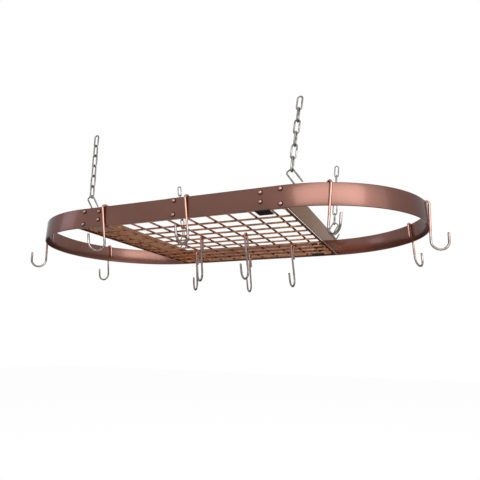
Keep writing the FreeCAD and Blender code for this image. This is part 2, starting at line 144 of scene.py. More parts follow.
class NodeTree:
    """A node tree under construction."""

    def __init__(self, owner: Any) -> None:
        """Empties the owner's tree.

        Args:
            owner: A material or a world.
        """
        owner.use_nodes = True
        self.tree = owner.node_tree
        self.tree.nodes.clear()

    def add(self, kind: str, settings: dict[str, Any] | None = None, inputs: dict[Any, Any] | None = None,
            output: Any = 0) -> Value:
        """Adds one node.

        Args:
            kind: The node's type name.
            settings: Properties of the node, set before its sockets.
            inputs: Socket names or numbers, with a constant or a Value each.
            output: Name or number of the socket to return.

        Returns:
            The chosen output.
        """
        node = self.tree.nodes.new(kind)
        for name, value in (settings or {}).items():
            setattr(node, name, value)
        for name, value in (inputs or {}).items():
            if isinstance(value, Value):
                self.tree.links.new(value.socket, node.inputs[name])
            else:
                node.inputs[name].default_value = value
        return Value(self, node.outputs[output])

    def place(self) -> Value:
        """The point on the piece, in metres, in the rack's own frame."""
        return self.add("ShaderNodeTexCoord", output="Object")

    def part(self, vector: Value, axis: str) -> Value:
        """One part of a vector.

        Args:
            vector: The vector.
            axis: X, Y or Z.

        Returns:
            Its part along the axis.
        """
        return self.add("ShaderNodeSeparateXYZ", inputs={"Vector": vector}, output=axis)

    def looked_at(self) -> Value:
        """1 for rays from the camera, off glossy surfaces and through glass, and 0 for all others."""
        seen = self.add("ShaderNodeLightPath", output="Is Camera Ray")
        glossy = self.add("ShaderNodeLightPath", output="Is Glossy Ray")
        through = self.add("ShaderNodeLightPath", output="Is Transmission Ray")
        return seen.larger(glossy).larger(through)

    def noise(self, size: float, detail: float = 3.0, roughness: float = 0.5) -> Value:
        """Cloudy variation over the piece.

        Args:
            size: Rough width of a patch in metres.
            detail: Octaves.
            roughness: Weight of the finer octaves.

        Returns:
            A value near 0.5.
        """
        return self.add("ShaderNodeTexNoise", inputs={
            "Vector": self.place(), "Scale": 1.0 / size, "Detail": detail, "Roughness": roughness})

    def mix(self, factor: Any, first: Any, second: Any) -> Value:
        """Mixes two colours.

        Args:
            factor: Share of the second colour.
            first: A colour or a Value.
            second: A colour or a Value.

        Returns:
            The mixed colour.
        """
        node = self.tree.nodes.new("ShaderNodeMix")
        node.data_type = "RGBA"
        for name, value in (("Factor_Float", factor), ("A_Color", first), ("B_Color", second)):
            socket = next(s for s in node.inputs if s.identifier == name)
            if isinstance(value, Value):
                self.tree.links.new(value.socket, socket)
            else:
                socket.default_value = value if isinstance(value, float) else (*value, 1.0)
        return Value(self, next(s for s in node.outputs if s.identifier == "Result_Color"))

    def bump(self, height: Value, distance: float, strength: float) -> Value:
        """A normal from a height.

        Args:
            height: Height from 0 to 1.
            distance: Relief in metres.
            strength: Share of the relief.

        Returns:
            The normal.
        """
        inputs = {"Height": height, "Distance": distance, "Strength": strength}
        return self.add("ShaderNodeBump", inputs=inputs)

    def finish(self, shader: Value, output: str = "ShaderNodeOutputMaterial") -> None:
        """Links a shader to the tree's output.

        Args:
            shader: The shader.
            output: Type of the output node.
        """
        node = self.tree.nodes.new(output)
        self.tree.links.new(shader.socket, node.inputs["Surface"])


@dataclass(frozen=True)
class Lacquer:
    """Satin copper lacquer over steel: cloudy tone, a faint orange peel and painted shade on strip edges and
    dome rims.

    A strip's edges lie at edge_low and edge_high. A dome faces along Y and gets painted shade towards its
    rim.
    """

    name: str
    tone: Colour
    shade: Colour
    # The edge colour is painted shade for a strip's top and bottom edges and for a dome's rim.
    edge: Colour
    rough: float
    coat: float
    metal: float = 0.9
    rim_tint: Colour = (0.20, 0.16, 0.15)
    edge_low: float | None = None
    edge_high: float | None = None
    edge_band: float = 1.6 * MM
    edge_ragged: float = 0.6 * MM
    dome_rim_shade: bool = False
    cloud_size: float = 160 * MM
    rub_size: float = 18 * MM
    speck_size: float = 2.2 * MM
    peel_size: float = 3.2 * MM
    wave_size: float = 30 * MM
    peel_relief: float = 0.04 * MM

    def build(self) -> bpy.types.Material:
        """Makes the material.

        Returns:
            The finished material.
        """
        material = bpy.data.materials.new(self.name)
        tree = NodeTree(material)
        clouds = tree.noise(self.cloud_size).ramp(0.30, 0.72)
        colour = tree.mix(clouds, self.shade, self.tone)
        specks = tree.noise(self.speck_size, 2.0, 0.6).ramp(0.64, 0.80)
        colour = tree.mix(specks * 0.12, colour, self.shade)
        rub = tree.noise(self.rub_size, 3.0, 0.6)
        roughness = self.rough + 0.07 * rub + 0.03 * specks
        if self.edge_low is not None and self.edge_high is not None:
            middle, half = (self.edge_low + self.edge_high) / 2, (self.edge_high - self.edge_low) / 2
            off_middle = abs(tree.part(tree.place(), "Z") - middle) + self.edge_ragged * (rub - 0.5)
            edge_shade_mask = off_middle.ramp(half - self.edge_band, half - self.edge_band / 8)
            # Painted shade: the colour darkens towards the edge colour along the strip's top and bottom
            # edges.
            colour = tree.mix(edge_shade_mask * 0.8, colour, self.edge)
            roughness = roughness + 0.12 * edge_shade_mask
        if self.dome_rim_shade:
            # Painted shade: a dome darkens towards the edge colour as its normal turns away from Y.
            facing = tree.part(tree.add("ShaderNodeNewGeometry", output="Normal"), "Y")
            colour = tree.mix((1.0 - abs(facing)).ramp(0.06, 0.34), colour, self.edge)
        peel = tree.noise(self.peel_size, 2.0) * 0.7 + tree.noise(self.wave_size, 2.0) * 0.3
        shader = tree.add("ShaderNodeBsdfPrincipled", inputs={
            "Base Color": colour, "Metallic": self.metal, "Roughness": roughness,
            "Specular Tint": (*self.rim_tint, 1.0), "Coat Weight": self.coat, "Coat Roughness": 0.12,
            "Normal": tree.bump(peel, self.peel_relief, 0.25)})
        tree.finish(shader)
        return material


@dataclass(frozen=True)
class WireSteel:
    """Drawn steel wire: fine grain, dull patches and, where asked, a painted copper reflection above a
    height.

    The painted reflection fades in between the two heights given for it.
    """

    name: str
    tone: Colour
    shade: Colour
    rough: float
    rim_tint: Colour
    relief: float
    grime: float = 0.35
    # Painted reflection: the copper colour and the two heights below stand for the band mirrored in polished
    # wire.
    band_reflection: Colour | None = None
    band_reflection_low: float = 0.0
    band_reflection_high: float = 0.0
    patch_size: float = 14 * MM
    fine_size: float = 1.1 * MM
    grain_size: float = 4.5 * MM
    grain_relief: float = 0.05 * MM

    def build(self) -> bpy.types.Material:
        """Makes the material.

        Returns:
            The finished material.
        """
        material = bpy.data.materials.new(self.name)
        tree = NodeTree(material)
        patches = tree.noise(self.patch_size, 3.0, 0.6).ramp(0.30, 0.72)
        fine = tree.noise(self.fine_size, 2.0, 0.55)
        colour = tree.mix(patches, self.shade, self.tone)
        colour = tree.mix(fine.ramp(0.55, 0.8) * self.grime, colour, self.shade)
        # Painted reflection: the copper band's reflection is painted on the wire above a height.
        if self.band_reflection is not None:
            height = tree.part(tree.place(), "Z")
            colour = tree.mix(height.ramp(self.band_reflection_low, self.band_reflection_high), colour, self.band_reflection)
        roughness = self.rough + 0.16 * (1.0 - patches) + 0.08 * fine
        grain = fine * 0.6 + tree.noise(self.grain_size, 2.0) * 0.4
        shader = tree.add("ShaderNodeBsdfPrincipled", inputs={
            "Base Color": colour, "Metallic": 1.0, "Roughness": roughness,
            "Specular Tint": (*self.rim_tint, 1.0),
            "Normal": tree.bump(grain, self.grain_relief, self.relief)})
        tree.finish(shader)
        return material


# ------------------------------------------------------------------ mesh building


class WireBender:
    """Bends round wire in a bmesh: a ring of edges that is pushed straight and spun round bends."""

    def __init__(self, diameter: float, start: Vector, heading: Vector, sides: int = 20) -> None:
        """Starts a wire with a ring of edges.

        Args:
            diameter: The wire's diameter.
            start: Middle of the first ring.
            heading: Direction in which the wire sets off.
            sides: Sides of the ring.
        """
        self.bm = bmesh.new()
        self.at = start.copy()
        self.heading = heading.normalized()
        turn = Vector((0, 0, 1)).rotation_difference(self.heading).to_matrix().to_4x4()
        ring = bmesh.ops.create_circle(self.bm, segments=sides, radius=diameter / 2, cap_ends=False,
                                       matrix=Matrix.Translation(start) @ turn)
        self.ring = list({edge for vert in ring["verts"] for edge in vert.link_edges})
        self.first = (list(self.ring), start.copy(), self.heading.copy())

    def _push(self, step: Vector) -> list[bmesh.types.BMVert]:
        """Extrudes the ring by a step.

        Args:
            step: The move.

        Returns:
            The new ring's vertices.
        """
        grown = bmesh.ops.extrude_edge_only(self.bm, edges=self.ring)["geom"]
        verts = [item for item in grown if isinstance(item, bmesh.types.BMVert)]
        bmesh.ops.translate(self.bm, verts=verts, vec=step)
        self.ring = [item for item in grown if isinstance(item, bmesh.types.BMEdge)
                     and item.verts[0] in verts and item.verts[1] in verts]
        return verts

    def straight(self, length: float, parts: int = 1) -> "WireBender":
        """Runs the wire straight on.

        Args:
            length: Length of the run.
            parts: Rings that the run is divided into.

        Returns:
            This wire.
        """
        for _ in range(parts):
            self._push(self.heading * (length / parts))
        self.at += self.heading * length
        return self

    def swell(self, length: float, growth: float, steps: int = 6) -> "WireBender":
        """Runs straight on over a weld that stands proud.

        Args:
            length: Length of the weld.
            growth: Share by which the wire grows at the weld's middle.
            steps: Rings over the weld.

        Returns:
            This wire.
        """
        now = 1.0
        for step in range(1, steps + 1):
            verts = self._push(self.heading * (length / steps))
            self.at += self.heading * (length / steps)
            wanted = 1.0 + growth * math.sin(math.pi * step / steps) ** 0.7 if step < steps else 1.0
            bmesh.ops.scale(self.bm, verts=verts, vec=Vector((1, 1, 1)) * (wanted / now),
                            space=Matrix.Translation(-self.at))
            now = wanted
        return self

    def bend(self, centre: Vector, axis: Vector, angle: float, steps: int = 12) -> "WireBender":
        """Bends the wire round a centre.

        Args:
            centre: Centre of the bend.
            axis: Axis of the bend.
            angle: Turn in radians.
            steps: Rings over the bend.

        Returns:
            This wire.
        """
        verts = {vert for edge in self.ring for vert in edge.verts}
        spun = bmesh.ops.spin(self.bm, geom=[*verts, *self.ring], cent=centre, axis=axis, angle=angle,
                              steps=steps, use_merge=False, use_duplicate=False)["geom_last"]
        self.ring = [item for item in spun if isinstance(item, bmesh.types.BMEdge)]
        turn = Quaternion(axis, angle)
        self.at = centre + turn @ (self.at - centre)
        self.heading = turn @ self.heading
        return self

    def _dome(self, ring: list[bmesh.types.BMEdge], at: Vector, heading: Vector, rise: float) -> None:
        """Closes a ring with a low dome.

        Args:
            ring: The ring's edges.
            at: The ring's middle.
            heading: Direction out of the wire.
            rise: Height of the dome.
        """
        self.ring, steps, now = ring, 4, 1.0
        each = math.pi / 2 / (steps + DOME_CAP)
        for step in range(1, steps + 1):
            angle = step * each
            climb = rise * (math.sin(angle) - math.sin(angle - each))
            verts = self._push(heading * climb)
            at = at + heading * climb
            bmesh.ops.scale(self.bm, verts=verts, vec=Vector((1, 1, 1)) * (math.cos(angle) / now),
                            space=Matrix.Translation(-at))
            now = math.cos(angle)
        bmesh.ops.contextual_create(self.bm, geom=self.ring)

    def close_tips(self, rise: float) -> "WireBender":
        """Rounds both ends of an open wire.

        Args:
            rise: Height of each tip beyond its last ring.

        Returns:
            This wire.
        """
        last = list(self.ring)
        self._dome(last, self.at.copy(), self.heading.copy(), rise)
        ring, at, heading = self.first
        self._dome(ring, at, -heading, rise)
        return self

    def close_loop(self) -> "WireBender":
        """Joins the last ring of a closed wire to its first.

        Returns:
            This wire.
        """
        bmesh.ops.remove_doubles(self.bm, verts=self.bm.verts, dist=MERGE)
        return self

    def mesh(self, name: str) -> bpy.types.Mesh:
        """Ends the work.

        Args:
            name: Name of the mesh.

        Returns:
            The wire as a mesh with smooth faces that point outwards.
        """
        bmesh.ops.recalc_face_normals(self.bm, faces=self.bm.faces)
        for face in self.bm.faces:
            face.smooth = True
        mesh = bpy.data.meshes.new(name)
        self.bm.to_mesh(mesh)
        self.bm.free()
        return mesh


def gathered(name: str, parts: Iterable[tuple[bpy.types.Mesh, Matrix]]) -> bpy.types.Mesh:
    """Puts placed copies of meshes into one mesh.

    Args:
        name: Name of the new mesh.
        parts: Meshes, each with its place.

    Returns:
        The new mesh.
    """
    bm = bmesh.new()
    for mesh, place in parts:
        before = len(bm.verts)
        bm.from_mesh(mesh)
        bm.verts.ensure_lookup_table()
        bmesh.ops.transform(bm, matrix=place, verts=bm.verts[before:])
    result = bpy.data.meshes.new(name)
    bm.to_mesh(result)
    bm.free()
    return result


def show(mesh: bpy.types.Mesh, name: str, body: str, node: str,
         material: bpy.types.Material) -> bpy.types.Object:
    """Makes an object of a mesh, dresses it and lets it ride on its body.

    Args:
        mesh: The finished mesh, placed in the rack's frame.
        name: Name of the piece.
        body: The body that it moves with.
        node: The CAD node that it stands for.
        material: Its finish.

    Returns:
        The object.
    """
    piece = bpy.data.objects.new(name, mesh)
    bpy.context.scene.collection.objects.link(piece)
    mesh.materials.clear()
    mesh.materials.append(material)
    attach(piece, body)
    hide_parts(node)
    LOG.info("%s: %d faces on %s", name, len(mesh.polygons), body)
    return piece


def turned(heading: float, axis: str = "Z") -> Matrix:
    """A turn in degrees about one axis."""
    return Matrix.Rotation(math.radians(heading), 4, axis)


# ------------------------------------------------------------------ the rack's sub-assemblies


@dataclass
class OvalBand:
    """The flat strip round the rack, with its lap and the rivets that show on it."""

    top: float
    half_width: float = 287.2 * MM
    straight_half: float = 265.7 * MM
    reach: float = 287.2 * MM
    height: float = 50.8 * MM
    thick: float = 3.0 * MM
    lap_edge: float = -15.6 * MM
    lap_thick: float = 1.5 * MM
    lap_flat: float = 28.0 * MM
    lap_fade: float = 22.0 * MM
    edge_round: float = 0.45 * MM
    segments: int = 288
    long_cuts: int = 40
    lap_sunk: float = 0.6 * MM
    lap_shy: float = 0.1 * MM
    lap_end: float = 0.05 * MM
    head: float = 11.5 * MM
    head_rise: float = 4.5 * MM
    rivet_play: float = 0.05 * MM
    bracket_thick: float = 2.5 * MM
    seam_x: float = 1.4 * MM
    seam_drops: tuple[float, float] = (7.0 * MM, 41.0 * MM)
    flange_x: float = 260.4 * MM
    flange_drops: tuple[float, float] = (7.8 * MM, 41.2 * MM)
    bracket_x: float = 215.0 * MM
    bracket_drops: tuple[float, float] = (11.3 * MM, 32.5 * MM)

    def edge(self, side: int, x: float, inset: float) -> tuple[float, float]:
        """A point of the outline drawn in by inset.

        Args:
            side: +1 on the far side, -1 on the near side.
            x: Distance along the rack.
            inset: Distance inside the outer face.

        Returns:
            Y, and the outward heading in degrees from +X.
        """
        past = math.copysign(max(0.0, abs(x) - self.straight_half), x)
        reach, half = self.reach - inset, self.half_width - inset
        y = side * half * math.sqrt(1 - (past / reach) ** 2)
        return y, math.degrees(math.atan2(y / half ** 2, past / reach ** 2))

    def strip(self) -> bpy.types.Mesh:
        """Models the strip.

        Returns:
            The oval wall with rounded edges.
        """
        bm = bmesh.new()
        ring = bmesh.ops.create_circle(bm, segments=self.segments, radius=1.0, cap_ends=False)["verts"]
        bmesh.ops.rotate(bm, verts=ring, cent=Vector(), matrix=turned(180 / self.segments).to_3x3())
        bmesh.ops.scale(bm, verts=ring, vec=Vector((self.reach, self.half_width, 1)))
        for sign in (-1, 1):
            half = [vert for vert in ring if vert.co.x * sign > 0]
            bmesh.ops.translate(bm, verts=half, vec=Vector((sign * self.straight_half, 0, 0)))
        long_edges = [edge for edge in bm.edges if edge.calc_length() > self.straight_half]
        bmesh.ops.subdivide_edges(bm, edges=long_edges, cuts=self.long_cuts)
        bmesh.ops.translate(bm, verts=bm.verts, vec=Vector((0, 0, self.top)))
        wall = bmesh.ops.extrude_edge_only(bm, edges=list(bm.edges))["geom"]
        bmesh.ops.translate(bm, verts=[item for item in wall if isinstance(item, bmesh.types.BMVert)],
                            vec=Vector((0, 0, -self.height)))
        bmesh.ops.recalc_face_normals(bm, faces=bm.faces)
        bmesh.ops.solidify(bm, geom=[*bm.faces, *bm.edges, *bm.verts], thickness=self.thick)
        bmesh.ops.recalc_face_normals(bm, faces=bm.faces)
        self._soften(bm)
        return self._done(bm, "band_strip")

    def lap(self) -> bpy.types.Mesh:
        """Models the strip's outer end, which lies over the band and fades into it.

        Returns:
            The lap's plate.
        """
        bm = bmesh.new()
        made = bmesh.ops.create_cube(bm, size=1.0)["verts"]
        length, face = self.lap_flat + self.lap_fade, -self.half_width
        size = Vector((length, self.lap_thick + self.lap_sunk, self.height - self.lap_shy))
        bmesh.ops.scale(bm, verts=made, vec=size)
        bmesh.ops.translate(bm, verts=made, vec=Vector((
            self.lap_edge + length / 2, face + (self.lap_sunk - self.lap_thick) / 2,
            self.top - self.height / 2)))
        across = [edge for edge in bm.edges if abs(edge.verts[0].co.x - edge.verts[1].co.x) > length / 2]
        bmesh.ops.subdivide_edges(bm, edges=across, cuts=9)
        start = self.lap_edge + self.lap_flat
        for vert in bm.verts:
            if vert.co.y < face and vert.co.x > start:
                share = (vert.co.x - start) / self.lap_fade
                vert.co.y = face - self.lap_thick * (1 - share) + self.lap_end * share
        bmesh.ops.recalc_face_normals(bm, faces=bm.faces)
        self._soften(bm)
        return self._done(bm, "band_lap")

    def _soften(self, bm: bmesh.types.BMesh) -> None:
        """Rounds the long square edges.

        Args:
            bm: The mesh under work.
        """
        sharp = [edge for edge in bm.edges if len(edge.link_faces) == 2 and edge.calc_face_angle() > SHARP]
        bmesh.ops.bevel(bm, geom=sharp, offset=self.edge_round, offset_type="OFFSET", segments=3,
                        profile=0.5, affect="EDGES", material=-1, clamp_overlap=True)

    def _done(self, bm: bmesh.types.BMesh, name: str) -> bpy.types.Mesh:
        """Turns the work into a mesh with smooth faces.

        Args:
            bm: The mesh under work.
            name: Name of the mesh.

        Returns:
            The mesh.
        """
        for face in bm.faces:
            face.smooth = True
        mesh = bpy.data.meshes.new(name)
        bm.to_mesh(mesh)
        bm.free()
        return mesh

    def rivet(self, length: float) -> bpy.types.Mesh:
        """Models a dome-headed rivet along +Y with its outer head at the origin.

        Args:
            length: Thickness of what it holds.

        Returns:
            The rivet: two domes and the shank between them.
        """
        bm = bmesh.new()
        half, rise = self.head / 2, self.head_rise
        ball = (half * half + rise * rise) / (2 * rise)
        span = math.asin(half / ball)
        start = bmesh.ops.create_vert(bm, co=Vector((0, -rise, 0)))["vert"]
        outline = bmesh.ops.spin(bm, geom=start, cent=Vector((0, ball - rise, 0)), axis=Vector((0, 0, 1)),
                                 angle=span, steps=9)["geom_last"]
        rim = [item for item in outline if isinstance(item, bmesh.types.BMVert)]
        foot = bmesh.ops.extrude_vert_indiv(bm, verts=rim)["verts"]
        bmesh.ops.translate(bm, verts=foot, vec=Vector((0, length, 0)))
        bmesh.ops.spin(bm, geom=foot, cent=Vector((0, length - ball + rise, 0)), axis=Vector((0, 0, 1)),
                       angle=span, steps=9)
        bmesh.ops.spin(bm, geom=[*bm.verts, *bm.edges], cent=Vector(), axis=Vector((0, 1, 0)),
                       angle=2 * math.pi, steps=32, use_merge=True)
        bmesh.ops.remove_doubles(bm, verts=bm.verts, dist=MERGE)
        bmesh.ops.recalc_face_normals(bm, faces=bm.faces)
        return self._done(bm, "rivet")

    def rivet_places(self, length: float, proud: float, xs: Sequence[float], sides: Sequence[int],
                     drops: Sequence[float]) -> list[tuple[bpy.types.Mesh, Matrix]]:
        """Sets one rivet at each place.

        Args:
            length: Thickness of what each rivet holds.
            proud: How far the outer head's seat stands off the band.
            xs: Places along the rack.
            sides: Near and far sides.
            drops: Distances below the band's top edge.

        Returns:
            The rivet's mesh with each place.
        """
        mesh = self.rivet(length)
        places = []
        for x in xs:
            for side in sides:
                y, outward = self.edge(side, x, 0.0)
                for drop in drops:
                    at = Matrix.Translation(Vector((x, y + side * proud, self.top - drop)))
                    places.append((mesh, at @ turned(outward + 90)))
        return places

    def build(self, finish: bpy.types.Material, rivet_finish: bpy.types.Material) -> None:
        """Builds the band and its rivets.

        Args:
            finish: The lacquer of the strip.
            rivet_finish: The lacquer of the rivet heads.
        """
        parts = [(self.strip(), Matrix()), (self.lap(), Matrix())]
        show(gathered("band", parts), "oval_band", "rack", "band", finish)
        both = (-1, 1)
        seam = self.rivet_places(self.thick + self.lap_thick, self.lap_thick, (self.seam_x,), (-1,),
                                 self.seam_drops)
        flange = self.rivet_places(2 * self.thick + self.rivet_play, 0.0, (-self.flange_x, self.flange_x),
                                   both, self.flange_drops)
        bracket = self.rivet_places(self.thick + self.bracket_thick, 0.0, (-self.bracket_x, self.bracket_x),
                                    both, self.bracket_drops)
        for name, node, places in (("seam_rivet_heads", "seam_rivets", seam),
                                   ("crossbar_rivet_heads", "crossbar_rivets", flange),
                                   ("bracket_rivet_heads", "bracket_rivets", bracket)):
            show(gathered(name, places), name, "rack", node, rivet_finish)


@dataclass
class WireGrid:
    """The drop-in panel: a rim with rounded corners, long wires under it and cross wires on them."""

    top: float
    rim_wire: float = 6.0 * MM
    corner: float = 12.0 * MM
    half_x: float = 264.0 * MM
    half_y: float = 269.9 * MM
    rim_drop: float = 45.0 * MM
    wire: float = 4.8 * MM
    sink: float = 0.2 * MM
    long_count: int = 10
    cross_count: int = 10
    cross_pitch: float = 51.7 * MM
    tip: float = 0.5 * MM

    @property
    def long_z(self) -> float:
        """Height of the long wires' middles."""
        return self.top - self.rim_drop - self.rim_wire / 2 - self.wire / 2 + self.sink

    def long_y(self, number: int) -> float:
        """Place across the rack of a long wire, counted from the near side."""
        return (number + 1) * 2 * self.half_y / (self.long_count + 1) - self.half_y

    def rim(self) -> bpy.types.Mesh:
        """Models the rim.

        Returns:
            One wire bent to a closed rectangle.
        """
        z = self.top - self.rim_drop
        inner_x, inner_y = self.half_x - self.corner, self.half_y - self.corner
        up = Vector((0, 0, 1))
        wire = WireBender(self.rim_wire, Vector((self.half_x, -inner_y, z)), Vector((0, 1, 0)))
        for sx, sy, length in ((1, 1, inner_y), (-1, 1, inner_x), (-1, -1, inner_y), (1, -1, inner_x)):
            wire.straight(2 * length, 4)
            wire.bend(Vector((sx * inner_x, sy * inner_y, z)), up, math.pi / 2, 10)
        return wire.close_loop().mesh("grid_rim_wire")

    def straight_wires(self, name: str, starts: Sequence[Vector], run: Vector) -> bpy.types.Mesh:
        """Models a row of straight wires.

        Args:
            name: Name of the mesh.
            starts: Where each wire starts.
            run: From a wire's start to its end.

        Returns:
            The wires in one mesh.
        """
        heading = run.normalized()
        wire = WireBender(self.wire, heading * self.tip, heading, 14)
        wire.straight(run.length - 2 * self.tip, 6).close_tips(self.tip)
        mesh = wire.mesh(name)
        return gathered(name, [(mesh, Matrix.Translation(start)) for start in starts])

    def build(self, finish: bpy.types.Material) -> None:
        """Builds the panel.

        Args:
            finish: The wire's lacquer.
        """
        reach = self.half_x + self.rim_wire / 2
        starts = [Vector((-reach, self.long_y(n), self.long_z)) for n in range(self.long_count)]
        long_wires = self.straight_wires("long_wires", starts, Vector((2 * reach, 0, 0)))
        reach = self.half_y - self.rim_wire / 2 + self.sink
        cross_z = self.long_z + self.wire - self.sink
        middle = (self.cross_count - 1) / 2
        starts = [Vector(((n - middle) * self.cross_pitch, -reach, cross_z))
                  for n in range(self.cross_count)]
        cross_wires = self.straight_wires("cross_wires", starts, Vector((0, 2 * reach, 0)))
        show(self.rim(), "grid_rim_bent", "grid", "grid_rim", finish)
        show(long_wires, "grid_long_run", "grid", "grid_long_wires", finish)
        show(cross_wires, "grid_cross_run", "grid", "grid_cross_wires", finish)


@dataclass
class Hanging:
    """At each corner an S-hook through the crossbar, a leaning chain and its top link."""

    top: float
    hang_x: float = 276.2 * MM
    hang_y: float = 250.2 * MM
    hole_drop: float = 4.5 * MM
    bar_thick: float = 3.0 * MM
    hook_wire: float = 4.0 * MM
    spine: float = 48.0 * MM
    arm: float = 17.5 * MM
    leg: float = 42.0 * MM
    low_leg: float = 24.0 * MM
    bend: float = 5.0 * MM
    hole_play: float = 0.3 * MM
    chain_play: float = 1.8 * MM
    link_wire: float = 4.0 * MM
    pitch: float = 32.0 * MM
    width: float = 16.0 * MM
    link_play: float = 0.3 * MM
    links: int = 5
    weld: float = 7.0 * MM
    weld_swell: float = 0.11
    spread: float = 18.0 * MM
    draw_in: float = 14.0 * MM
    lean_over: float = 165.0 * MM
    tip: float = 1.3 * MM

    @property
    def tilt(self) -> float:
        """Lean of an S-hook's spine in degrees, with its loaded bends plumb."""
        return math.degrees(math.atan2(self.arm - self.bend, self.spine / 2 - self.bend))

    @property
    def half_drop(self) -> float:
        """From an S-hook's middle to the middle of its wire at the lowest point."""
        return math.hypot(self.arm - self.bend, self.spine / 2 - self.bend) + self.bend

    @property
    def middle_z(self) -> float:
        """Height of an S-hook's middle."""
        inside = self.bend - self.hook_wire / 2
        rise = inside - math.sqrt(inside ** 2 - (self.bar_thick / 2) ** 2)
        low = self.top - self.hole_drop - self.hole_play - rise - self.hook_wire / 2
        return low + self.half_drop

    def s_hook(self) -> bpy.types.Mesh:
        """Models the S-hook, upright in the XZ plane.

        Returns:
            The bent wire with rounded tips.
        """
        half, r, side, quarter = self.spine / 2, self.bend, Vector((0, 1, 0)), math.pi / 2
        start = Vector((self.arm, 0, half - self.leg + self.tip))
        wire = WireBender(self.hook_wire, start, Vector((0, 0, 1)))
        wire.straight(self.leg - r - self.tip, 4)
        wire.bend(Vector((self.arm - r, 0, half - r)), side, -quarter, 8)
        wire.straight(self.arm - 2 * r).bend(Vector((r, 0, half - r)), side, -quarter, 8)
        wire.straight(self.spine - 2 * r, 4).bend(Vector((-r, 0, r - half)), side, quarter, 8)
        wire.straight(self.arm - 2 * r).bend(Vector((r - self.arm, 0, r - half)), side, quarter, 8)
        wire.straight(self.low_leg - r - self.tip, 3)
        return wire.close_tips(self.tip).mesh("s_hook")

    def link(self) -> bpy.types.Mesh:
        """Models one chain link, upright in the XZ plane, with its weld on one side.

        Returns:
            The closed link.
        """
        half = (self.pitch + 2 * self.link_wire - self.width) / 2
        r, side, plain = (self.width - self.link_wire) / 2, Vector((0, 1, 0)), half - self.weld / 2
        wire = WireBender(self.link_wire, Vector((r, 0, -half)), Vector((0, 0, 1)))
        wire.straight(plain).swell(self.weld, self.weld_swell).straight(plain)
        wire.bend(Vector((0, 0, half)), side, -math.pi, 14).straight(2 * half, 3)
        wire.bend(Vector((0, 0, -half)), side, -math.pi, 14)
        return wire.close_loop().mesh("link")

    def build(self, finish: bpy.types.Material) -> None:
        """Builds the four hanging points.

        Args:
            finish: The chain's steel.
        """
        hook, link = self.s_hook(), self.link()
        step = self.pitch - self.link_play
        start_z = self.middle_z + self.half_drop - self.hook_wire / 2 - self.chain_play
        for corner, sx, sy in CORNERS:
            at = Vector((sx * self.hang_x, sy * self.hang_y, 0))
            turn = turned(sy * self.tilt, "Y") @ (turned(180) if sy > 0 else Matrix())
            place = Matrix.Translation(at + Vector((0, 0, self.middle_z))) @ turn
            show(gathered("s_hook", [(hook, place)]), "s_hook_wire_" + corner, "s_hook_" + corner,
                 "s_hook_" + corner, finish)
            along = Vector((sx * self.spread, -sy * self.draw_in, self.lean_over)).normalized()
            upright = Vector((0, 0, 1)).rotation_difference(along).to_matrix().to_4x4()
            places = []
            for n in range(self.links + 1):
                middle = at + Vector((0, 0, start_z)) + along * (self.pitch / 2 + n * step)
                places.append((link, Matrix.Translation(middle) @ upright @ turned(0 if n % 2 else 90)))
            show(gathered("chain", places[:-1]), "chain_run_" + corner, "chain_" + corner,
                 "chain_" + corner, finish)
            show(gathered("top_link", places[-1:]), "chain_end_" + corner, "ceiling_links",
                 "top_link_" + corner, finish)


